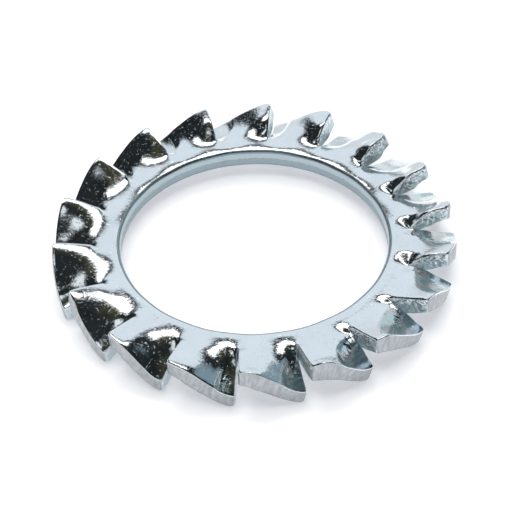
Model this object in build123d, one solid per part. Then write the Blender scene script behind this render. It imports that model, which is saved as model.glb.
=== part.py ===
from build123d import *
from math import cos, hypot, pi, radians, sin, tan
import os

# Toothed lock washer for an M16 bolt, external teeth, one stamping of spring steel strip.
# Origin on the axis of the bore, in the plane the washer stands on. +Z is up, along the bolt.

# Driving dimensions, in millimetres and degrees
bore_diameter = 17.0        # clearance bore for the bolt
ring_diameter = 19.86       # over the feet of the slits that part the teeth
tooth_diameter = 25.6       # over the outermost corners of the twisted teeth
plate_thickness = 1.2
tooth_count = 18
first_slit_angle = 3.2      # direction of the first slit, from +X
slit_width = 0.15           # opening at the foot of a slit
corner_lift = 0.88          # rise of a tooth's leading corner above the plane of the ring
corner_drop = 1.03          # fall of its trailing corner below that plane
lead_share = 0.87           # half widths of the twisted tip, as shares of the flat tooth's
trail_share = 0.96
corner_pull = 0.28          # how much nearer the axis the twist brings the leading corner
bore_break = 0.25           # broken upper edge that blanking leaves round the bore
cutter_margin = 0.5         # how far the tip runs past its own cut before it is trimmed

section_spans = 4           # spline spans across a tooth
twist_stations = 4          # sections along a tooth, past its foot

bore_radius = bore_diameter / 2
ring_radius = ring_diameter / 2
tooth_radius = tooth_diameter / 2
half_pitch = 180 / tooth_count
foot_distance = ring_radius * cos(radians(half_pitch))


def washer_ring():
    """The plain ring, with one flat for the foot of each tooth and a broken edge at the bore."""
    blank = RegularPolygon(ring_radius, tooth_count, rotation=first_slit_angle)
    ring = extrude(blank - Circle(bore_radius), plate_thickness)
    upper_rim = ring.edges().filter_by(GeomType.CIRCLE).sort_by(Axis.Z)[-1]
    return chamfer(upper_rim, bore_break)


def twist_share(distance):
    """Share of the full twist that a tooth has reached at this distance from the axis."""
    travel = (distance - foot_distance) / (tooth_radius - foot_distance)
    travel = min(travel, 1)
    return travel * travel * (3 - 2 * travel)


def tooth_section(distance):
    """Closed profile of a tooth, square to its radial axis, at this distance from the axis."""
    share = twist_share(distance)
    flat_half = distance * tan(radians(half_pitch)) - slit_width / 2
    lead = flat_half * (1 - share * (1 - lead_share))
    trail = flat_half * (1 - share * (1 - trail_share))
    width = lead + trail
    swing = share * (corner_lift + corner_drop) / 2
    middle = plate_thickness / 2 + share * (corner_lift - corner_drop) / 2

    upper = []
    lower = []
    for span in range(section_spans + 1):
        across = span / section_spans
        slope = -swing * pi / width * sin(pi * across)
        offset = plate_thickness / 2 / hypot(slope, 1)
        y = width * across - lead
        z = middle + swing * cos(pi * across)
        upper.append((y - offset * slope, z + offset))
        lower.append((y + offset * slope, z - offset))

    outline = [
        Spline(*upper, tangents=[(1, 0), (1, 0)]),
        Line(upper[-1], lower[-1]),
        Spline(*lower, tangents=[(1, 0), (1, 0)]),
        Line(lower[0], upper[0]),
    ]
    plane = Plane(origin=(distance, 0, 0), x_dir=(0, 1, 0), z_dir=(1, 0, 0))
    return plane * make_face(outline)


def tip_cutter():
    """Round cutter for a tooth on +X, set over so that the leading corner ends nearer the axis."""
    tip_angle = radians(half_pitch)
    sideways = corner_pull / 2 / sin(tip_angle)
    cutter_radius = tooth_radius - corner_pull / 2
    seam_behind = Rot(0, 0, 180)
    return Pos(0, sideways, plate_thickness / 2) * seam_behind * Cylinder(cutter_radius, 2 * tooth_radius)


def twisted_tooth():
    """One tooth on +X: flat at its foot, and twisted about its radial axis towards its tip."""
    stride = (tooth_radius - foot_distance) / twist_stations
    distances = [foot_distance + stride * station for station in range(twist_stations + 1)]
    distances.append(tooth_radius + cutter_margin)
    return loft([tooth_section(distance) for distance in distances]) & tip_cutter()


def lock_washer():
    """Ring and teeth as one solid, standing on the trailing corners of its teeth."""
    tooth = twisted_tooth()
    seats = PolarLocations(0, tooth_count, start_angle=first_slit_angle + half_pitch)
    washer = washer_ring() + [seat * tooth for seat in seats]
    lowest_corner = washer.vertices().sort_by(Axis.Z)[0]
    return Pos(0, 0, -lowest_corner.Z) * washer


os.makedirs("parts", exist_ok=True)
export_step(lock_washer(), "parts/lock_washer.step")
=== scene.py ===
import math

import bpy
import numpy as np
from mathutils import Matrix, Vector


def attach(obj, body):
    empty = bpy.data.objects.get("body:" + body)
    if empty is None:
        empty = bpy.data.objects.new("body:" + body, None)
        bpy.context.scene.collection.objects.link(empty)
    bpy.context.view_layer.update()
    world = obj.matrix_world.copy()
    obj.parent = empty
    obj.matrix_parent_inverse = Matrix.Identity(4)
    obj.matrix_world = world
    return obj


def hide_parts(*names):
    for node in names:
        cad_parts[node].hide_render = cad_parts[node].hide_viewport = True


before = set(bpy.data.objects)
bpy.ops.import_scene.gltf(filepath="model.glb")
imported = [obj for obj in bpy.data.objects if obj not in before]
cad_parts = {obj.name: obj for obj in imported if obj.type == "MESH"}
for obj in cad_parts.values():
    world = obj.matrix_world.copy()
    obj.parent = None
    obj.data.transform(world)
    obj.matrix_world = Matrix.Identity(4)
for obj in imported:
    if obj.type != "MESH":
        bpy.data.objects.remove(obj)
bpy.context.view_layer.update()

MM = 0.001

# ---------------------------------------------------------------------------
# Camera: a long lens close above the washer, 43 degrees up, turned a little
# about its own axis. It aims at the middle of the ring's underside.
# ---------------------------------------------------------------------------
image_width = 509
lens_pixels = 1662.0
camera_distance = 106.15
camera_elevation = math.radians(42.62)
camera_roll = math.radians(1.63)
centre_offset_pixels = -5.2
ring_underside = 1.009

forward = Vector((0, math.cos(camera_elevation), -math.sin(camera_elevation)))
level_right = Vector((1, 0, 0))
level_up = level_right.cross(forward)
right = math.cos(camera_roll) * level_right - math.sin(camera_roll) * level_up
up = math.sin(camera_roll) * level_right + math.cos(camera_roll) * level_up
camera_place = Vector((0, 0, ring_underside)) - camera_distance * forward
camera_data = bpy.data.cameras.new("camera")
camera_data.sensor_fit = "HORIZONTAL"
camera_data.sensor_width = 36.0
camera_data.lens = camera_data.sensor_width * lens_pixels / image_width
camera_data.shift_y = centre_offset_pixels / image_width
camera_data.clip_start = 0.001
camera_data.clip_end = 50.0
camera = bpy.data.objects.new("camera", camera_data)
bpy.context.scene.collection.objects.link(camera)
turn = Matrix((right, up, -forward)).transposed().to_4x4()
camera.matrix_world = Matrix.Translation(camera_place * MM) @ turn
bpy.context.scene.camera = camera
bpy.context.scene.view_settings.view_transform = "Standard"

# ---------------------------------------------------------------------------
# Lock washer: one stamping of 1.2 mm spring steel strip, bright zinc plated.
# The ring is blanked, 18 slits are lanced in its edge, and each tooth between
# two slits is twisted, its leading corner up and its trailing corner down.
# ---------------------------------------------------------------------------

# lengths are in millimetres and angles in degrees; teeth are numbered clockwise, and the first one's
# leading corner lies at the angle first_apex
teeth = 18
pitch = 360.0 / teeth
plate = 1.2
ring_top = ring_underside + plate
bore_radius = 8.5
bore_roll = 0.22
slit_root = 9.88
half_slit = 0.03
apex_radius = 12.52
corner_radius = 12.79
rim_reach = 12.7
first_apex = 84.6
lead_lean = -1.34
tooth_span = 18.12

# quads across a tooth, and out from the bore: over the ring, then over the tooth
columns = 44
ring_rows = 12
tooth_rows = 21


def by_tooth(usual, **others):
    """One value for each tooth; t5=0.3 and so on give the teeth that differ."""
    values = np.full(teeth, float(usual))
    for name, value in others.items():
        values[int(name[1:]) - 1] = value
    return values


# how each tooth came out of the press: the leading corner (apex), raised, with a swelling along its edge
apex_lift = by_tooth(0.88, t1=0.90, t2=0.90, t3=0.90, t4=0.90, t5=0.87, t8=0.85, t9=0.62, t10=0.72,
                     t11=0.58, t12=0.53, t13=0.75)
apex_out = by_tooth(0.0, t1=0.15, t2=0.22, t3=0.22, t4=0.16, t5=0.12, t6=-0.15, t14=0.15, t15=0.09,
                    t18=0.05)
apex_turn = by_tooth(0.0, t1=-1.0, t2=-0.6, t4=0.3, t5=0.9, t6=0.6, t7=0.4, t8=-0.9, t9=-0.4,
                     t15=-0.2, t16=-0.6, t17=-0.95, t18=-1.05)
apex_round = by_tooth(0.12, t1=0.2, t2=0.35, t3=0.4, t4=0.4, t5=0.45)
lead_bulge = by_tooth(0.0, t1=0.08, t2=0.12, t3=0.18, t4=0.2, t5=0.33, t6=0.2, t16=0.06, t17=0.08, t18=0.08)
lip_wide = by_tooth(0.6, t4=0.2, t5=0.2, t6=0.2)
lead_roll = by_tooth(0.13, t4=0.15, t5=0.2, t6=0.2, t7=0.18, t8=0.16)
rim_droop = by_tooth(0.7, t5=1.2, t6=1.0, t11=1.3, t12=1.3)
tip_thin = by_tooth(0.16, t3=0.36, t4=0.32, t9=0.05)

# the trailing corner, lowered, and the rim between the two corners
corner_drop = by_tooth(0.93, t3=1.05, t4=1.1, t5=1.0, t6=0.6, t7=0.68, t8=0.74, t11=0.97, t12=0.85,
                       t13=1.02)
corner_out = by_tooth(0.0, t1=-0.35, t2=-0.3, t3=-0.25, t4=-0.15, t14=0.1, t15=-0.1, t16=-0.2, t17=-0.3,
                      t18=-0.3)
span_extra = by_tooth(0.0, t3=-0.8, t4=-0.8, t5=0.2, t6=0.5, t7=0.4, t10=0.3, t11=1.3, t12=1.1, t13=1.6,
                      t14=0.9)
rim_curl = by_tooth(0.0, t14=0.1, t15=0.15, t16=0.1)
rim_burr = by_tooth(0.0, t8=0.12, t9=0.25, t10=0.08)
rim_swell = by_tooth(0.06, t2=0.1, t3=0.15, t4=0.15, t5=0.18, t6=0.2, t7=0.12, t8=0.15, t9=0.2, t10=0.1)
rim_rise = by_tooth(0.0, t2=0.1, t3=0.3, t4=0.15)
fall_start = by_tooth(8.84, t7=9.8, t8=9.8, t9=9.6)
fall_ease = by_tooth(0.36, t7=0.0, t8=0.0, t9=0.0)

# the twist between them: where it starts, and how it leans towards the leading edge
bend_start = by_tooth(8.92, t5=9.2, t6=9.35, t7=9.35, t8=9.35, t10=8.88, t11=8.85, t12=8.78, t13=8.74,
                      t14=8.68, t15=9.0, t16=9.0, t17=9.0)
twist_lean = by_tooth(0.3, t1=0.6, t2=0.6, t3=1.5, t4=0.6, t5=-0.2, t6=-0.4, t7=-0.3, t8=-0.5, t9=-1.0,
                      t10=-0.6, t11=-0.5, t12=-0.9, t14=0.1, t15=0.0, t18=0.4)

# a swelling beside the leading edge, and a hollow at the root of the trailing edge
edge_swell = by_tooth(0.0, t1=0.10, t2=0.18, t3=0.15, t4=0.08, t18=0.10)
root_hollow = by_tooth(0.0, t4=0.08, t13=0.06, t14=0.1)
root_across = by_tooth(0.95, t13=0.6, t14=0.8)
root_reach = by_tooth(0.15, t13=0.35, t14=0.4)
root_radius = by_tooth(10.0, t13=9.8, t14=9.6)

# the dent round the root of the slit behind a tooth, which teeth 5 to 9 have: its own radius, how steep it
# is, how far it lies from the slit into the tooth, and how far out from the axis
dent_size = by_tooth(0.5, t5=0.9, t6=0.9, t7=1.0, t8=0.7, t9=0.7)
dent_slope = by_tooth(0.0, t5=0.25, t6=0.3, t7=0.3, t8=0.2, t9=0.2)
dent_shift = by_tooth(0.0, t8=0.4, t9=0.4)
dent_place = by_tooth(10.2, t5=9.9, t6=9.9, t7=9.9, t8=10.1, t9=10.1)

# the punch's oval mark on the trailing corner: half its width and length, the step down to its floor, and
# the floor's slope
mark_wide = by_tooth(1.1, t1=1.35, t3=1.7, t4=2.4, t5=1.7, t6=2.2, t7=3.0, t8=3.2, t9=2.1, t10=1.3,
                     t11=1.15, t12=1.15, t17=1.2, t18=1.5)
mark_long = by_tooth(2.5, t3=2.45, t4=2.45, t5=2.6, t6=2.2, t7=2.2, t8=2.25, t9=2.2)
mark_step = by_tooth(0.05, t3=0.07, t4=0.09, t5=0.07, t6=0.09, t7=0.06, t8=0.07, t9=0.08, t10=0.08,
                     t11=0.08, t12=0.08)
floor_tilt = by_tooth(0.0, t3=-0.08, t4=-0.1, t5=-0.06, t6=0.04, t7=0.12, t8=0.04, t9=-0.06, t10=0.05)

# the wedge along the trailing edge, painted grey-blue as a reflection of shade: how far across it begins at
# the rim (none from 1 up)
shaded_wedge_from = by_tooth(1.2, t7=0.72, t8=0.68, t9=0.66, t10=0.78, t11=0.9)

# torn metal along the mark's edge and down the cut faces
mark_tear = by_tooth(0.15, t3=0.4, t4=0.7, t5=0.9, t6=0.9, t7=1.0, t8=1.0, t9=0.9, t10=0.7, t11=0.7, t12=0.5)
cut_tear = by_tooth(0.25, t3=0.4, t4=0.6, t5=0.9, t6=1.0, t7=1.0, t8=0.9, t9=0.8, t10=0.5)


lattice = 32


def grain(points, cell, seed, soft=True):
    """Random height between -1 and 1, one lattice value each cell mm; not soft gives flat flakes."""
    table = np.random.default_rng(seed).uniform(-1, 1, (lattice, lattice, lattice))
    place = points / cell + (10 * lattice + 0.5)
    low = np.floor(place).astype(int)
    part = place - low
    if soft:
        part = part * part * (3 - 2 * part)
    total = 0.0
    for corner in np.ndindex(2, 2, 2):
        weight = np.ones(points.shape[:-1])
        index = []
        for axis in range(3):
            weight = weight * (part[..., axis] if corner[axis] else 1 - part[..., axis])
            index.append((low[..., axis] + corner[axis]) % lattice)
        total = total + weight * table[tuple(index)]
    return total


def rise(x, start, length):
    """0 up to start and 1 from start + length on, with a smooth step between."""
    part = np.clip((x - start) / length, 0.0, 1.0)
    return part * part * (3 - 2 * part)


def mound(x, reach):
    """A bell, 1 at x = 0 and about a third at reach from it."""
    return np.exp(-(x / reach) ** 2)


def beyond(x, corner):
    """x where it is more than 0, otherwise 0, with the corner between rounded off."""
    return 0.5 * (x + np.sqrt(x ** 2 + corner ** 2))


def bend(r, start, full):
    """Height gained by a slope that eases in from radius start and is 1 beyond radius full."""
    x = np.clip(r - start, 0.0, full - start)
    return x * x / (2 * (full - start)) + np.clip(r - full, 0.0, None)


def across(u, lean):
    """1 at the leading edge and 0 at the trailing edge, blended between five shapes for lean -1 to 3."""
    v = np.clip(u, 0.0, 1.0)
    late_step = 1 - rise(v, start=0.27, length=0.72)
    even_wave = 0.5 * (1 + np.cos(np.pi * v))
    shapes = (late_step, even_wave, 1 - v, (1 - v) ** 2, (1 - v) ** 3)
    return sum(np.clip(1 - np.abs(lean + 1 - n), 0, 1) * shape for n, shape in enumerate(shapes))


def rim_radius(k, u):
    """Radius of a tooth's rim, u of the way from its apex to its trailing corner."""
    straight = apex_radius + apex_out[k] + (corner_radius + corner_out[k] - apex_radius - apex_out[k]) * u
    return straight + rim_swell[k] * np.sin(np.pi * u)


def edges(k, r, rim):
    """Angles of a tooth's leading and trailing edges at radius r, from its apex."""
    w = np.clip((r - slit_root) / (rim - slit_root), 0.0, 1.0)
    first = lead_lean * (1 - w) + apex_turn[k] * w
    last = (pitch + lead_lean) * (1 - w) + (tooth_span + span_extra[k]) * w
    return first, last


def share_across(k, r, angle):
    """How far across a tooth a place is, 0 at its leading and 1 at its trailing edge, and its width there."""
    rim = rim_radius(k, np.clip(angle / tooth_span, 0, 1))
    first, last = edges(k, r, rim)
    return (angle - first) / (last - first), last - first


# the two edges of a tooth bend out of the ring over a ramp, then level off between two radii; the rim of
# some teeth curls back up, with the corner at the same height
lead_ramp = 1.05
droop_start = 12.0
droop_full = 12.5
fall_ramp = 1.55
level_start = 10.7
level_full = 11.5
curl_start = 11.5
curl_full = 12.2


def lead_rise(k, r):
    """How far the leading edge stands above the ring."""
    start = bend_start[k]
    ramp_end = start + lead_ramp
    shape = bend(r, start, ramp_end) - rim_droop[k] * bend(r, droop_start, droop_full)
    end = bend(droop_full, start, ramp_end) - rim_droop[k] * bend(droop_full, droop_start, droop_full)
    return apex_lift[k] * shape / end


def trail_fall(k, r):
    """How far the trailing edge lies below the ring."""
    start = fall_start[k]
    ramp_end = start + fall_ramp
    shape = bend(r, start, ramp_end) - fall_ease[k] * bend(r, level_start, level_full)
    end = bend(rim_reach, start, ramp_end) - fall_ease[k] * bend(rim_reach, level_start, level_full)
    curl = bend(r, curl_start, curl_full)
    curl = curl - bend(rim_reach, curl_start, curl_full) * rise(r, start=10.4, length=1.8)
    return corner_drop[k] * shape / end - rim_curl[k] * curl


# middle of the punch's oval, and the line where the wedge's ridge starts
mark_across = 0.98
mark_radius = 12.65
ridge_across = 1.03
ridge_start = 10.2
ridge_length = 2.4


def inside_mark(k, r, u, width):
    """Distance in mm inside the oval edge of the punch's mark, less than 0 outside it."""
    aside = (mark_across - u) * np.radians(width) * r / mark_wide[k]
    inwards = (mark_radius - r) / mark_long[k]
    size = np.minimum(mark_wide[k], mark_long[k])
    return (1 - np.sqrt(aside ** 2 + inwards ** 2)) * size


def into_shaded_wedge(k, r, u, width):
    """Distance in mm into the wedge along the trailing edge that is painted grey-blue as reflected shade,
    less than 0 outside it.
    """
    ridge = ridge_across - (ridge_across - shaded_wedge_from[k]) * np.clip((r - ridge_start) / ridge_length, 0, 1)
    return (u - ridge) * np.radians(width) * r


def dent(k, aside, r):
    """Depth of the dent round the slit behind tooth k; aside is mm from that slit into tooth k."""
    inside = dent_size[k] - np.hypot(aside - dent_shift[k], r - dent_place[k])
    return dent_slope[k] * beyond(inside, corner=0.08)


def patch(u, r, middle, width, radius, reach):
    """1 in the middle of a smooth patch of a tooth, u = middle and r = radius, and 0 far from it."""
    return mound(u - middle, width) * mound(r - radius, reach)


def rim_patch(u, r, middle, width, start, length):
    """The same for a patch that grows out of the tooth from radius start and runs over the rim."""
    return mound(u - middle, width) * rise(r, start, length)


lip_start = 9.7
lip_length = 2.8
merge_length = 0.4
shoulder_radius = 9.25
shoulder_wave = 0.07
shoulder_curve = 0.217


def tooth_height(k, r, angle, upper=True):
    """Height of the upper face above the flat ring, or of the plain bend that the lower face follows."""
    u, width = share_across(k, r, angle)
    lead = lead_rise(k, r)
    trail = trail_fall(k, r)
    swing = across(u, twist_lean[k])
    lip = np.sin(np.pi * np.clip((r - lip_start) / lip_length, 0, 1)) ** 2
    height = lead * swing - trail * (1 - swing)
    if not upper:
        return height + lead_bulge[k] * lip * swing
    height = height + lead_bulge[k] * lip * mound(u, lip_wide[k])
    height = height + edge_swell[k] * patch(u, r, middle=0.12, width=0.2, radius=11.2, reach=0.8)
    height = height + rim_rise[k] * rim_patch(u, r, middle=0.36, width=0.24, start=11.0, length=1.6)
    height = height - root_hollow[k] * patch(u, r, root_across[k], root_reach[k], root_radius[k], reach=0.7)

    # ahead of a slit the two teeth beside it are still one sheet, so their bends meet half way
    late = rise(u, start=0.3, length=0.4)
    beside_lead = lead - trail_fall((k + 1) % teeth, r)
    beside_trail = lead_rise((k - 1) % teeth, r) - trail
    beside = (1 - late) * beside_lead + late * beside_trail
    near = np.minimum(np.abs(u), np.abs(1 - u)) * np.radians(pitch) * r
    ahead = np.clip(slit_root + merge_length - r, 0.0, None)
    hold = near / np.sqrt(near ** 2 + ahead ** 2 + 1e-9)
    height = 0.5 * beside + (height - 0.5 * beside) * hold
    arc = np.radians(width) * r
    height = height - dent(k, (1 - u) * arc, r) - dent((k + 1) % teeth, -u * arc, r)

    # the ring falls a little towards its bore; the rim's burr and the punch's mark lie over the twist
    shoulder = shoulder_radius + shoulder_wave * np.cos(2 * np.pi * (u - 0.3))
    shoulder = np.clip(shoulder - r, 0.0, None)
    height = height - shoulder_curve * shoulder ** 2
    height = height + rim_burr[k] * rim_patch(u, r, middle=0.22, width=0.14, start=11.9, length=0.6)
    inside = inside_mark(k, r, u, width)
    height = height - mark_step[k] * rise(inside, start=-0.06, length=0.3)
    return height - floor_tilt[k] * beyond(inside, corner=0.03)


def surface(k, r, angle, upper=True):
    """Places on the upper face, or on the plain bend, as x, y and z."""
    theta = np.radians(first_apex - pitch * k + angle)
    return np.stack([r * np.cos(theta), r * np.sin(theta), ring_top + tooth_height(k, r, angle, upper)], -1)


def normal(k, r, angle, upper=True):
    """Upward unit normals at the same places."""
    out = 0.04
    turned = 0.25
    outwards = surface(k, r + out, angle, upper) - surface(k, r - out, angle, upper)
    around = surface(k, r, angle + turned, upper) - surface(k, r, angle - turned, upper)
    n = np.cross(outwards, around)
    return n / np.linalg.norm(n, axis=-1, keepdims=True)


row_spread = 1.12
roll_grows = 0.35
slit_opens = 0.1


def plan(roll_lead, roll_rim, roll_trail, inner, trail_round):
    """Tooth number, radius and angle of every sheet point, drawn in from the outline by the rolls."""
    rows = ring_rows + tooth_rows + 1
    k = np.arange(teeth)[:, None, None] + np.zeros((1, rows, columns + 1), int)
    u = np.linspace(0, 1, columns + 1)[None, None, :] + 0 * k
    j = np.arange(rows)[None, :, None] + 0 * k
    s = np.clip((j - ring_rows) / tooth_rows, 0, 1) ** row_spread
    # round the two corners: the corner square of side c becomes a quarter disc
    deep = apex_radius - slit_root
    wide = np.radians(tooth_span) * apex_radius
    s_round = s
    u_round = u
    for c, across_from, turned in ((apex_round[k], u, False), (trail_round + 0.0 * k, 1 - u, True)):
        a = np.clip(1 - (1 - s) * deep / c, 0, 1)
        b = np.clip(1 - across_from * wide / c, 0, 1)
        s_round = np.where(a * b > 0, 1 - c * (1 - a * np.sqrt(1 - b * b / 2)) / deep, s_round)
        moved = c * (1 - b * np.sqrt(1 - a * a / 2)) / wide
        u_round = np.where(a * b > 0, 1 - moved if turned else moved, u_round)
    rim = rim_radius(k, u) - roll_rim
    r = np.where(j <= ring_rows, inner + (slit_root - inner) * (j / ring_rows),
                 slit_root + (rim - slit_root) * s_round)
    first, last = edges(k, r, rim)
    near_root = rise(r, start=slit_root, length=roll_grows)
    gap = half_slit * rise(r, start=slit_root, length=slit_opens)
    first = first + np.degrees((roll_lead * near_root + gap) / r)
    last = last - np.degrees((roll_trail * near_root + gap) / r)
    angle = first + (last - first) * u_round
    return k, r, angle


sheet_wave = 0.0035
tooth_wave = 0.010
fine_wave = 0.0016
flake_height = 0.04


def roughen(points, k, r, angle):
    """Adds what pressing and tearing left on the upper face: waves, flakes along the mark, fine grain."""
    u, width = share_across(k, r, angle)
    tooth = rise(r, start=9.6, length=0.9)
    lift = tooth_wave * tooth * grain(points, cell=0.9, seed=11)
    lift = lift + sheet_wave * grain(points, cell=1.6, seed=12)
    lift = lift + fine_wave * grain(points, cell=0.2, seed=13) * (0.5 + tooth)

    # torn flakes lie along the ridge of the wedge, or just inside the oval where there is no wedge
    along_oval = mound(inside_mark(k, r, u, width) - 0.12, reach=0.22) * rise(r, start=10.0, length=0.4)
    along_ridge = mound(into_shaded_wedge(k, r, u, width) + 0.3, reach=0.36) * rise(r, start=9.9, length=0.4)
    band = np.where(shaded_wedge_from[k] < 1, along_ridge, along_oval)
    theta = np.radians(first_apex - pitch * k + angle)
    stretched = np.stack([r * theta, 0.35 * r, 0 * r], -1)
    flakes = grain(stretched, cell=0.12, seed=21, soft=False)
    flakes = flakes + 0.7 * grain(points, cell=0.19, seed=22, soft=False)
    lift = lift + flake_height * mark_tear[k] * band * flakes
    moved = points.copy()
    moved[..., 2] = points[..., 2] + lift
    return moved


# the upper sheet inside its rolled edges, the outline that the rolls run out to, and the lower sheet
apex_roll = lead_roll[:, None, None]
top_bore = bore_radius + bore_roll
tooth_of, r_top, a_top = plan(apex_roll, roll_rim=0.05, roll_trail=0.06, inner=top_bore, trail_round=0.12)
top = roughen(surface(tooth_of, r_top, a_top), tooth_of, r_top, a_top)
_, r_out, a_out = plan(0.0, roll_rim=0.0, roll_trail=0.0, inner=bore_radius, trail_round=0.12)
outer = surface(tooth_of, r_out, a_out)
outer_normal = normal(tooth_of, r_out, a_out, upper=False)

under_roll = 0.04
under_bore_roll = 0.05
under_bore = bore_radius + under_bore_roll
_, r_low, a_low = plan(under_roll, under_roll, under_roll, inner=under_bore, trail_round=0.32)
u_low, _ = share_across(tooth_of, r_low, a_low)
towards_apex = rise(r_low, start=10.8, length=1.4) * (1 - rise(u_low, start=0.0, length=0.45))
thick = plate - tip_thin[tooth_of] * towards_apex
down = normal(tooth_of, r_low, a_low, upper=False)
aside = down * (rise(r_low, start=slit_root, length=1.6) * (1 - 0.6 * u_low))[..., None]
aside[..., 2] = 0.0
low = surface(tooth_of, r_low, a_low, upper=False)
low[..., 2] = np.where(r_low < slit_root, np.minimum(low[..., 2], ring_top), low[..., 2])
low[..., 2] = low[..., 2] - thick * down[..., 2]
low = low - thick[..., None] * aside


def outline(grid):
    """A grid's values along the washer's outer edge, anticlockwise, so from the last tooth to the first."""
    lead = grid[:, ring_rows:, 0]
    rim = grid[:, -1, 1:]
    trail = grid[:, ring_rows + 1:-1, -1][:, ::-1]
    return np.concatenate([lead, rim, trail], axis=1)[::-1].reshape((-1,) + grid.shape[3:])


# far_outside is what places have that no punch touched
far_outside = -3.0
vertices = []
faces = []
slots = []
shades = []
places = []
presses_and_shade = []


def keep(points, place=None, press=None):
    """Stores points and gives their numbers; place is their way along a wall and down it, in mm."""
    start = sum(len(v) for v in vertices)
    vertices.append(points)
    places.append(np.zeros((len(points), 3)) if place is None else place)
    presses_and_shade.append(np.full((len(points), 3), far_outside) if press is None else press)
    return np.arange(start, start + len(points))


def keep_sheet(points, press):
    """Stores a sheet's points; inside the slit roots a tooth shares its last column with the tooth before."""
    ids = np.zeros(points.shape[:3], int)
    for k in range(teeth):
        on_ring = (k, slice(0, ring_rows + 1), slice(0, columns))
        on_tooth = (k, slice(ring_rows + 1, None))
        for part in (on_ring, on_tooth):
            flat = points[part].reshape(-1, 3)
            ids[part] = keep(flat, press=press[part].reshape(-1, 3)).reshape(points[part].shape[:2])
    for k in range(teeth):
        ids[k, :ring_rows + 1, columns] = ids[(k - 1) % teeth, :ring_rows + 1, 0]
    return ids


def add_faces(quads, slot, smooth):
    """Stores faces with their material slot and their shading."""
    faces.append(quads)
    slots.append(np.zeros(len(quads), int) + slot)
    shades.append(np.zeros(len(quads), bool) | smooth)


# material slots, in the order in which the materials follow below
PLATE, RIM, CUT, BORE = range(4)

# press values: how far into the wedge of painted reflected shade, how far into the oval and how torn
u_top, width_top = share_across(tooth_of, r_top, a_top)
shaded_wedge_top = into_shaded_wedge(tooth_of, r_top, u_top, width_top)
oval_top = inside_mark(tooth_of, r_top, u_top, width_top)
press_and_shade_top = np.stack([shaded_wedge_top, oval_top, mark_tear[tooth_of]], -1)
top_ids = keep_sheet(top, press_and_shade_top)
low_ids = keep_sheet(low, np.full_like(press_and_shade_top, far_outside))
for ids, turn_over in ((top_ids, False), (low_ids, True)):
    quads = np.stack([ids[:, :-1, :-1], ids[:, 1:, :-1], ids[:, 1:, 1:], ids[:, :-1, 1:]], -1).reshape(-1, 4)
    add_faces(quads[:, ::-1] if turn_over else quads, PLATE, True)

# outer wall: rolled upper edge, then the sheared or torn face, down to the lower sheet
roll_limit = 0.15
roll_flake = 0.02
lower_break = 0.035
tear_depth = 0.075
shear_depth = 0.008
trailing_share = 0.5
p_in = outline(top)
p_out = outline(outer)
p_low = outline(low)
n_out = outline(outer_normal)
k_out = outline(tooth_of)
r_loop = outline(r_out)
per_tooth = len(p_in) // teeth
spot = np.arange(len(p_in)) % per_tooth
on_cut = (spot <= tooth_rows) | (spot >= tooth_rows + columns)
step = np.linalg.norm(np.diff(np.vstack([p_out, p_out[:1]])[:, :2], axis=0), axis=1)
way = np.concatenate([[0.0], np.cumsum(step)[:-1]])
outward = p_out - p_in
outward[:, 2] = 0.0
reach = np.linalg.norm(p_out - p_in, axis=1, keepdims=True)
outward = outward / np.maximum(np.linalg.norm(outward, axis=1, keepdims=True), 1e-6)
roll_depth = np.minimum(reach, roll_limit)
wall_start = p_out - n_out * roll_depth
wall_end = p_low + lower_break * outward + lower_break * n_out
rings = [outline(top_ids)]
roll_steps = 3
for i in range(1, roll_steps):
    f = 0.5 * math.pi * i / roll_steps
    p = p_in + (p_out - p_in) * math.sin(f) - n_out * roll_depth * (1 - math.cos(f))
    rough = grain(p, cell=0.11, seed=34, soft=False) * np.where(on_cut, cut_tear[k_out], 0.0)
    p = p + outward * (roll_flake * rough)[:, None]
    rings.append(keep(p, np.stack([way, 0.05 * i + 0 * way, 0 * way], -1)))
wall_steps = 8
leading = (spot > 0) & (spot <= tooth_rows)
tear = np.where(on_cut, cut_tear[k_out], 0.0) * np.where(leading, 1.0, trailing_share)
tear = tear * rise(r_loop, start=slit_root - 0.1, length=0.3)
tear = tear * rise(rim_reach - r_loop, start=0.0, length=0.4)
for i in range(wall_steps + 1):
    w = i / wall_steps
    p = wall_start + (wall_end - wall_start) * w
    body = math.sin(math.pi * min(max(w, 0.02), 0.98)) ** 0.5
    flakes = grain(p, cell=0.17, seed=31, soft=False) + 0.5 * grain(p, cell=0.08, seed=32, soft=False)
    shear = grain(np.stack([way, 0.2 * w + 0 * way, 0 * way], -1), cell=0.12, seed=33)
    torn_out = tear_depth * tear * body * (flakes - 0.3)
    p = p + outward * (torn_out + np.where(on_cut, 0.0, shear_depth * shear))[:, None]
    rings.append(keep(p, np.stack([way, 0.15 + w + 0 * way, 0 * way], -1)))
rings.append(outline(low_ids))
face_cut = (spot < tooth_rows) | (spot >= tooth_rows + columns)
wall_slot = np.where(face_cut, CUT, RIM)
for i, (upper, lower) in enumerate(zip(rings[:-1], rings[1:])):
    quads = np.stack([upper, lower, np.roll(lower, -1), np.roll(upper, -1)], -1)
    add_faces(quads, PLATE if i < roll_steps - 1 else wall_slot, ~face_cut | (i < roll_steps - 1))

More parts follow.
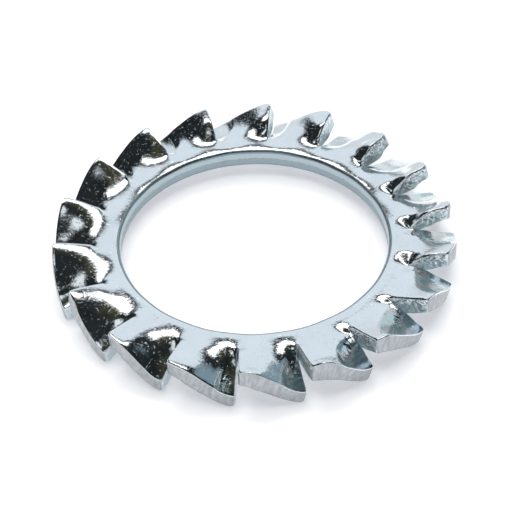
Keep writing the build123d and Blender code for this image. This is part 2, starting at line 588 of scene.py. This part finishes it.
# bore wall: small rolled upper edge, then straight down; clockwise from tooth to tooth, so put in order first
order = np.concatenate([np.arange(k * columns, (k + 1) * columns) for k in range(teeth - 1, -1, -1)])
bore_angle = np.radians(first_apex - pitch * tooth_of[:, 0, :-1] + a_top[:, 0, :-1]).reshape(-1)
top_edge = top[:, 0, :-1, 2].reshape(-1)
low_edge = low[:, 0, :-1, 2].reshape(-1)
bore_way = bore_radius * np.radians(np.arange(teeth * columns) * pitch / columns)[np.argsort(order)]
rings = [top_ids[:, 0, :-1].reshape(-1)]
for i in range(1, roll_steps + 1):
    f = 0.5 * math.pi * i / roll_steps
    r = bore_radius + bore_roll * (1 - math.sin(f))
    z = top_edge - bore_roll * (1 - math.cos(f))
    p = np.stack([r * np.cos(bore_angle), r * np.sin(bore_angle), z], -1)
    rings.append(keep(p, np.stack([bore_way, ring_top - z, 0 * z], -1)))
bore_high = z
bore_steps = 6
for i in range(1, bore_steps + 1):
    z = bore_high + (low_edge + under_bore_roll - bore_high) * i / bore_steps
    p = np.stack([bore_radius * np.cos(bore_angle), bore_radius * np.sin(bore_angle), z], -1)
    rings.append(keep(p, np.stack([bore_way, ring_top - z, 0 * z], -1)))
rings.append(low_ids[:, 0, :-1].reshape(-1))
for upper, lower in zip(rings[:-1], rings[1:]):
    a = upper[order]
    b = lower[order]
    add_faces(np.stack([a, np.roll(a, -1), np.roll(b, -1), b], -1), BORE, True)

mesh = bpy.data.meshes.new("toothed_lock_washer")
mesh.from_pydata((np.concatenate(vertices) * MM).tolist(), [], np.concatenate(faces).tolist())
mesh.polygons.foreach_set("material_index", np.concatenate(slots).astype(np.int32))
mesh.polygons.foreach_set("use_smooth", np.concatenate(shades))
wall = mesh.attributes.new("wall_place", "FLOAT_VECTOR", "POINT")
wall.data.foreach_set("vector", np.concatenate(places).astype(np.float32).ravel())
# this attribute carries the mask of the wedge's painted reflected shade, the pressed oval and the tear
press_and_shade_mark = mesh.attributes.new("press_and_shade_mark", "FLOAT_VECTOR", "POINT")
press_and_shade_mark.data.foreach_set("vector", np.concatenate(presses_and_shade).astype(np.float32).ravel())
mesh.update()
washer = bpy.data.objects.new("toothed_lock_washer", mesh)
bpy.context.scene.collection.objects.link(washer)


def linear(code):
    """An sRGB hex colour as linear RGBA."""
    parts = [int(code[i:i + 2], 16) / 255 for i in (1, 3, 5)]
    return tuple(c / 12.92 if c <= 0.04045 else ((c + 0.055) / 1.055) ** 2.4 for c in parts) + (1.0,)


def add(tree, kind, settings=None, links=None):
    """Adds one node with its properties, inputs and links; a number names an input by its place."""
    node = tree.nodes.new(kind)
    for name, value in (settings or {}).items():
        if isinstance(name, int) or name in node.inputs:
            node.inputs[name].default_value = value
        else:
            setattr(node, name, value)
    for name, source in (links or {}).items():
        tree.links.new(source, node.inputs[name])
    return node


def new_material(name):
    """A material in the washer's next slot; gives its node tree, with no nodes in it yet."""
    material = bpy.data.materials.new(name)
    material.use_nodes = True
    material.node_tree.nodes.clear()
    mesh.materials.append(material)
    return material.node_tree


# Bright zinc plate: rolled strip under a blue passivated coat, nearly a mirror. Orange peel of
# about 0.2 mm bends the reflections, and raised specks of 0.15 mm glint; both are drawn coarser than real.
# Here and below, a number over MM is how many times a pattern comes in a millimetre.
tree = new_material("bright_zinc_plate")
place = add(tree, "ShaderNodeTexCoord").outputs["Object"]
peel = add(tree, "ShaderNodeTexNoise", {"Scale": 5.2 / MM, "Detail": 4.0, "Roughness": 0.6},
           {"Vector": place})
bump = add(tree, "ShaderNodeBump", {"Distance": 0.009 * MM, "Strength": 1.0}, {"Height": peel.outputs["Fac"]})
specks = add(tree, "ShaderNodeTexNoise", {"Scale": 6.5 / MM, "Detail": 2.0, "Distortion": 0.6},
             {"Vector": place})
raised = add(tree, "ShaderNodeMapRange", {"From Min": 0.64, "From Max": 0.76},
             {"Value": specks.outputs["Fac"]})
bump = add(tree, "ShaderNodeBump", {"Distance": 0.008 * MM, "Strength": 1.0},
           {"Height": raised.outputs[0], "Normal": bump.outputs["Normal"]})
cloud = add(tree, "ShaderNodeTexNoise", {"Scale": 0.7 / MM, "Detail": 3.0}, {"Vector": place})
tint = add(tree, "ShaderNodeMix", {"data_type": "RGBA", 6: linear("#E4EAEE"), 7: linear("#F4F6F7")},
           {0: cloud.outputs["Fac"]})
gloss = add(tree, "ShaderNodeMapRange", {"From Min": 0.3, "From Max": 0.7, "To Min": 0.04, "To Max": 0.09},
            {"Value": cloud.outputs["Fac"]})
# the film shows its colours where the punch pressed the oval; the wedge's even grey-blue is a painted
# reflection of the shaded gap under the neighbouring tooth
marks = add(tree, "ShaderNodeAttribute", {"attribute_name": "press_and_shade_mark"})
pressed = add(tree, "ShaderNodeSeparateXYZ", {}, {0: marks.outputs["Vector"]})
painted_shade_wedge = add(tree, "ShaderNodeMapRange", {"From Min": -0.06, "From Max": 0.06},
            {"Value": pressed.outputs["X"]})
oval = add(tree, "ShaderNodeMapRange", {"From Min": -0.05, "From Max": 0.15},
           {"Value": pressed.outputs["Y"]})
oval = add(tree, "ShaderNodeMath", {"operation": "MULTIPLY"}, {0: oval.outputs[0], 1: pressed.outputs["Z"]})
film = add(tree, "ShaderNodeTexNoise", {"Scale": 1.3 / MM, "Detail": 3.0, "Distortion": 1.0},
           {"Vector": place})
film = add(tree, "ShaderNodeMapRange", {"From Min": 0.4, "From Max": 0.6}, {"Value": film.outputs["Fac"]})
film = add(tree, "ShaderNodeMix", {"data_type": "RGBA", 6: linear("#D6CFCE"), 7: linear("#B9D6D9")},
           {0: film.outputs[0]})
tint = add(tree, "ShaderNodeMix", {"data_type": "RGBA"},
           {0: oval.outputs[0], 6: tint.outputs[2], 7: film.outputs[2]})
# painted reflection of shade: the wedge is mixed to an even grey-blue
tint = add(tree, "ShaderNodeMix", {"data_type": "RGBA", 7: linear("#A9BAC3")},
           {0: painted_shade_wedge.outputs[0], 6: tint.outputs[2]})
shader = add(tree, "ShaderNodeBsdfPrincipled", {"Metallic": 1.0},
             {"Base Color": tint.outputs[2], "Roughness": gloss.outputs[0], "Normal": bump.outputs["Normal"]})
add(tree, "ShaderNodeOutputMaterial", {}, {"Surface": shader.outputs["BSDF"]})

# Blanked rim: sheared through the strip and plated, satin grey, with streaks about 0.2 mm wide that run
# across the thickness; real ones are finer.
tree = new_material("blanked_rim_zinc")
place = add(tree, "ShaderNodeAttribute", {"attribute_name": "wall_place"}).outputs["Vector"]
stretch = add(tree, "ShaderNodeMapping", {"Scale": (5.0, 1.4, 1.0)}, {"Vector": place})
streaks = add(tree, "ShaderNodeTexNoise", {"Scale": 1.0, "Detail": 5.0, "Roughness": 0.6, "Distortion": 0.5},
              {"Vector": stretch.outputs[0]})
share = add(tree, "ShaderNodeMapRange", {"From Min": 0.3, "From Max": 0.7}, {"Value": streaks.outputs["Fac"]})
tint = add(tree, "ShaderNodeMix", {"data_type": "RGBA", 6: linear("#989DA1"), 7: linear("#C0C4C6")},
           {0: share.outputs[0]})
bump = add(tree, "ShaderNodeBump", {"Distance": 0.02 * MM, "Strength": 1.0},
           {"Height": streaks.outputs["Fac"]})
shader = add(tree, "ShaderNodeBsdfPrincipled", {"Metallic": 1.0, "Roughness": 0.42},
             {"Base Color": tint.outputs[2], "Normal": bump.outputs["Normal"]})
add(tree, "ShaderNodeOutputMaterial", {}, {"Surface": shader.outputs["BSDF"]})

# Torn cut face: lanced, then torn. A narrow burnished band of bright flakes lies under the upper edge;
# below it the plating covers a fine broken grain of about 0.1 mm, pale teal from the passivation. Each
# grain leans its own way, so neighbours mirror different parts of the room.
tree = new_material("torn_cut_zinc")
place = add(tree, "ShaderNodeTexCoord").outputs["Object"]
along_wall = add(tree, "ShaderNodeAttribute", {"attribute_name": "wall_place"})
parts = add(tree, "ShaderNodeSeparateXYZ", {}, {0: along_wall.outputs["Vector"]})
ragged = add(tree, "ShaderNodeTexNoise", {"Scale": 3.5 / MM, "Detail": 3.0}, {"Vector": place})
raggedness = 0.9
edge = add(tree, "ShaderNodeMath", {"operation": "MULTIPLY_ADD", 1: raggedness, 2: -raggedness / 2},
           {0: ragged.outputs["Fac"]})
edge = add(tree, "ShaderNodeMath", {"operation": "ADD"}, {0: edge.outputs[0], 1: parts.outputs["Y"]})
torn = add(tree, "ShaderNodeMapRange", {"From Min": 0.30, "From Max": 0.55}, {"Value": edge.outputs[0]})
crystals = add(tree, "ShaderNodeTexVoronoi", {"Scale": 9.0 / MM}, {"Vector": place})
lean = add(tree, "ShaderNodeVectorMath", {"operation": "SUBTRACT", 1: (0.5, 0.5, 0.1)},
           {0: crystals.outputs["Color"]})
tilt = add(tree, "ShaderNodeMapRange", {"To Min": 0.80, "To Max": 0.50}, {"Value": torn.outputs[0]})
lean = add(tree, "ShaderNodeVectorMath", {"operation": "SCALE"},
           {0: lean.outputs[0], "Scale": tilt.outputs[0]})
fine = add(tree, "ShaderNodeTexNoise", {"Scale": 9.0 / MM, "Detail": 3.0}, {"Vector": place})
bump = add(tree, "ShaderNodeBump", {"Distance": 0.02 * MM, "Strength": 0.8}, {"Height": fine.outputs["Fac"]})
facing = add(tree, "ShaderNodeVectorMath", {"operation": "ADD"},
             {0: bump.outputs["Normal"], 1: lean.outputs[0]})
facing = add(tree, "ShaderNodeVectorMath", {"operation": "NORMALIZE"}, {0: facing.outputs[0]})
tint = add(tree, "ShaderNodeMix", {"data_type": "RGBA", 6: linear("#E9F0F2"), 7: linear("#D3E3E6")},
           {0: torn.outputs[0]})
gloss = add(tree, "ShaderNodeMapRange", {"To Min": 0.12, "To Max": 0.36}, {"Value": torn.outputs[0]})
shader = add(tree, "ShaderNodeBsdfPrincipled", {"Metallic": 0.75},
             {"Base Color": tint.outputs[2], "Roughness": gloss.outputs[0], "Normal": facing.outputs[0]})
add(tree, "ShaderNodeOutputMaterial", {}, {"Surface": shader.outputs["BSDF"]})

# Punched bore wall: a burnished band over a duller broken band, with a ragged line between them
# about half way down the 1.2 mm of plate, and streaks of about 0.1 mm running down both.
tree = new_material("punched_bore_zinc")
place = add(tree, "ShaderNodeAttribute", {"attribute_name": "wall_place"}).outputs["Vector"]
parts = add(tree, "ShaderNodeSeparateXYZ", {}, {0: place})
ragged = add(tree, "ShaderNodeTexNoise", {"Scale": 3.0, "Detail": 4.0}, {"Vector": place})
raggedness = 0.30
edge = add(tree, "ShaderNodeMath", {"operation": "MULTIPLY_ADD", 1: raggedness, 2: -raggedness / 2},
           {0: ragged.outputs["Fac"]})
edge = add(tree, "ShaderNodeMath", {"operation": "ADD"}, {0: edge.outputs[0], 1: parts.outputs["Y"]})
lower = add(tree, "ShaderNodeMapRange", {"From Min": 0.60, "From Max": 0.64}, {"Value": edge.outputs[0]})
tint = add(tree, "ShaderNodeMix", {"data_type": "RGBA", 6: linear("#A9B7BC"), 7: linear("#94A4AA")},
           {0: lower.outputs[0]})
gloss = add(tree, "ShaderNodeMapRange", {"To Min": 0.22, "To Max": 0.40}, {"Value": lower.outputs[0]})
stretch = add(tree, "ShaderNodeMapping", {"Scale": (9.0, 1.0, 1.0)}, {"Vector": place})
streaks = add(tree, "ShaderNodeTexNoise", {"Scale": 1.0, "Detail": 4.0}, {"Vector": stretch.outputs[0]})
bump = add(tree, "ShaderNodeBump", {"Distance": 0.02 * MM, "Strength": 1.0},
           {"Height": streaks.outputs["Fac"]})
shader = add(tree, "ShaderNodeBsdfPrincipled", {"Metallic": 1.0},
             {"Base Color": tint.outputs[2], "Roughness": gloss.outputs[0], "Normal": bump.outputs["Normal"]})
add(tree, "ShaderNodeOutputMaterial", {}, {"Surface": shader.outputs["BSDF"]})

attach(washer, "root")
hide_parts("lock_washer")

# ---------------------------------------------------------------------------
# Table: a wide white board under the washer. Its own glow, seen by the camera
# and by the metal, keeps it white round the soft contact shadow.
# ---------------------------------------------------------------------------
table_half = 2.0
table_glow = 0.22
table_corners = [(-table_half, -table_half, 0), (table_half, -table_half, 0),
                 (table_half, table_half, 0), (-table_half, table_half, 0)]
table_mesh = bpy.data.meshes.new("white_table")
table_mesh.from_pydata(table_corners, [], [(0, 1, 2, 3)])
table = bpy.data.objects.new("white_table", table_mesh)
bpy.context.scene.collection.objects.link(table)
material = bpy.data.materials.new("white_board")
material.use_nodes = True
tree = material.node_tree
tree.nodes.clear()
rays = add(tree, "ShaderNodeLightPath")
seen = add(tree, "ShaderNodeMath", {"operation": "ADD"},
           {0: rays.outputs["Is Camera Ray"], 1: rays.outputs["Is Glossy Ray"]})
seen = add(tree, "ShaderNodeMath", {"operation": "ADD", "use_clamp": True},
           {0: seen.outputs[0], 1: rays.outputs["Is Transmission Ray"]})
glow = add(tree, "ShaderNodeMath", {"operation": "MULTIPLY", 1: table_glow}, {0: seen.outputs[0]})
emission = add(tree, "ShaderNodeEmission", {"Color": linear("#FFFEFF")}, {"Strength": glow.outputs[0]})
diffuse = add(tree, "ShaderNodeBsdfDiffuse", {"Color": linear("#F8F7F9")})
both = add(tree, "ShaderNodeAddShader", {}, {0: diffuse.outputs[0], 1: emission.outputs[0]})
add(tree, "ShaderNodeOutputMaterial", {}, {"Surface": both.outputs[0]})
table_mesh.materials.append(material)

# ---------------------------------------------------------------------------
# Studio: a pale sweep behind, one softbox overhead behind the washer, pale
# cards low in front and at both sides, and a dark room above. Each place is a
# point on a dome map: zenith 0, horizon 1, behind the washer y, to the right x.
# ---------------------------------------------------------------------------
world = bpy.data.worlds.new("studio")
bpy.context.scene.world = world
world.use_nodes = True
tree = world.node_tree
tree.nodes.clear()
coords = add(tree, "ShaderNodeTexCoord").outputs["Generated"]
axes = add(tree, "ShaderNodeSeparateXYZ", {}, {0: coords})
tilt = add(tree, "ShaderNodeMath", {"operation": "ARCCOSINE"}, {0: axes.outputs["Z"]})
far = add(tree, "ShaderNodeMath", {"operation": "DIVIDE", 1: math.pi / 2}, {0: tilt.outputs[0]}).outputs[0]
level = add(tree, "ShaderNodeVectorMath", {"operation": "MULTIPLY", 1: (1, 1, 0)}, {0: coords})
level = add(tree, "ShaderNodeVectorMath", {"operation": "NORMALIZE"}, {0: level.outputs[0]})
dome = add(tree, "ShaderNodeVectorMath", {"operation": "SCALE"}, {0: level.outputs[0], "Scale": far})
spots = add(tree, "ShaderNodeSeparateXYZ", {}, {0: dome.outputs[0]})
window_place = (-0.08, -0.07, 0)
window = add(tree, "ShaderNodeVectorMath", {"operation": "DISTANCE", 1: window_place}, {0: dome.outputs[0]})
dust = add(tree, "ShaderNodeTexNoise", {"Scale": 14.0, "Detail": 3.0}, {"Vector": coords})
measures = {"x": spots.outputs["X"], "y": spots.outputs["Y"], "far": far, "window": window.outputs["Value"],
            "dust": dust.outputs["Fac"]}

# each zone: its colour, then the edges that bound it, where it starts to show and where it is full; in
# turn, dust on the dark room, its warm part, a side wall, the sweep, the low back at the left and right,
# the front card, the side cards, the horizon, a small window overhead and the softbox
softbox_glow = (2.8, 2.8, 2.8, 1.0)
zones = [
    (linear("#363B3D"), ("dust", 0.45, 0.7)),
    (linear("#57563E"), ("y", 0.06, 0.12), ("y", 0.23, 0.19), ("x", -0.14, -0.08), ("x", 0.26, 0.18),
     ("dust", 0.4, 0.6)),
    (linear("#7E949E"), ("x", 0.43, 0.46), ("y", 0.15, 0.25)),
    (linear("#E3EDF5"), ("x", -0.38, -0.34), ("x", 0.45, 0.42), ("y", 0.462, 0.482)),
    (linear("#D6D8DB"), ("y", 0.84, 0.90), ("x", 0.12, 0.02), ("x", -0.60, -0.50)),
    (linear("#CBD9DD"), ("y", 0.84, 0.90), ("x", 0.02, 0.12), ("x", 0.45, 0.42)),
    (linear("#C9D1D6"), ("y", -0.38, -0.48)),
    (linear("#B9C3C9"), ("x", -0.66, -0.74)),
    (linear("#B9C3C9"), ("x", 0.66, 0.74)),
    (linear("#DCE2E6"), ("far", 0.88, 0.94)),
    (linear("#F2F7FA"), ("window", 0.11, 0.092)),
    (softbox_glow, ("x", -0.27, -0.23), ("x", 0.28, 0.24), ("y", 0.235, 0.26), ("y", 0.385, 0.37)),
]
room = linear("#1D2123")
tone = None
for colour, *edges_of_zone in zones:
    mask = None
    for name, none, full in edges_of_zone:
        edge = add(tree, "ShaderNodeMapRange",
                   {"interpolation_type": "SMOOTHSTEP", "From Min": none, "From Max": full},
                   {"Value": measures[name]}).outputs[0]
        if mask:
            edge = add(tree, "ShaderNodeMath", {"operation": "MULTIPLY"}, {0: mask, 1: edge}).outputs[0]
        mask = edge
    tone = add(tree, "ShaderNodeMix", {"data_type": "RGBA", 6: room, 7: colour},
               {0: mask, 6: tone} if tone else {0: mask}).outputs[2]
background = add(tree, "ShaderNodeBackground", {"Strength": 1.0}, {"Color": tone})
add(tree, "ShaderNodeOutputWorld", {}, {"Surface": background.outputs[0]})

lamp_data = bpy.data.lights.new("overhead", "AREA")
lamp_data.shape = "DISK"
lamp_data.size = 1.1
lamp_data.energy = 7.0
lamp = bpy.data.objects.new("overhead", lamp_data)
lamp.location = (-0.03, 0.13, 0.85)
lamp.visible_glossy = False
bpy.context.scene.collection.objects.link(lamp)
